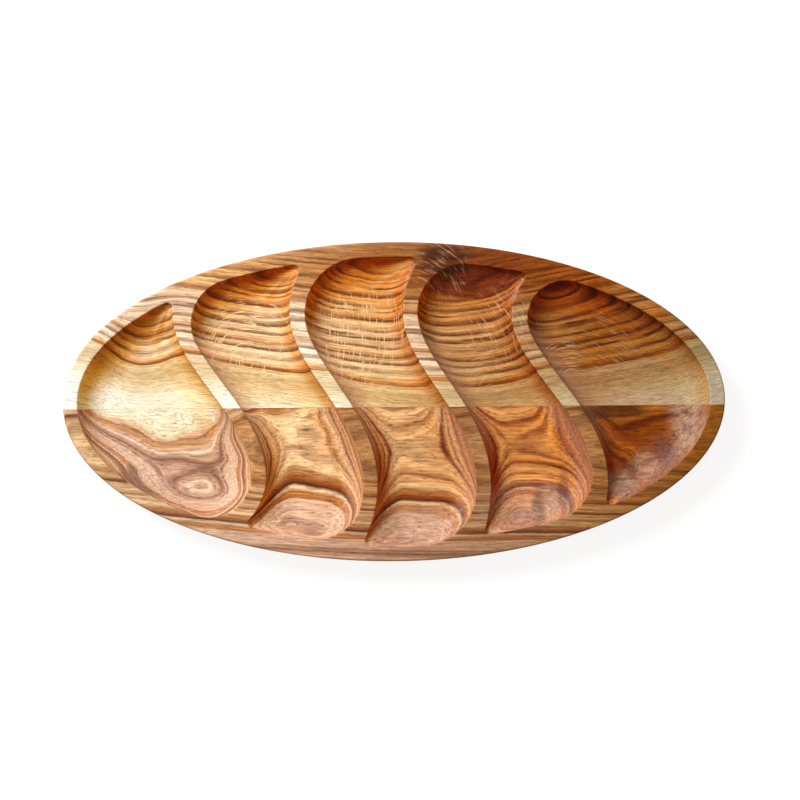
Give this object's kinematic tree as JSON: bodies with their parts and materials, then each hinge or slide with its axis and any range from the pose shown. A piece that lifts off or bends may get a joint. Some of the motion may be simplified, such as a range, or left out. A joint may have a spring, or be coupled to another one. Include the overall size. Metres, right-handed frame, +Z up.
{
  "type": "divided serving tray",
  "caption": "Oval wooden serving tray of edge-glued boards, carved with S-shaped dished pockets between waving dividers, for serving snacks side by side.",
  "frame": {"origin": "centre of the oval, on the underside that rests on the table", "axes": "+X along the tray's length, +Y across it towards the back board, +Z up out of the pockets"},
  "size_m": [0.415, 0.2, 0.02],
  "materials": {
    "back_wood": "oiled satin",
    "front_wood": "oiled satin",
    "glue": "matte"
  },
  "bodies": {
    "root": {"back_board": "back_wood", "front_board": "front_wood", "glue_line": "glue"}
  },
  "joints": []
}
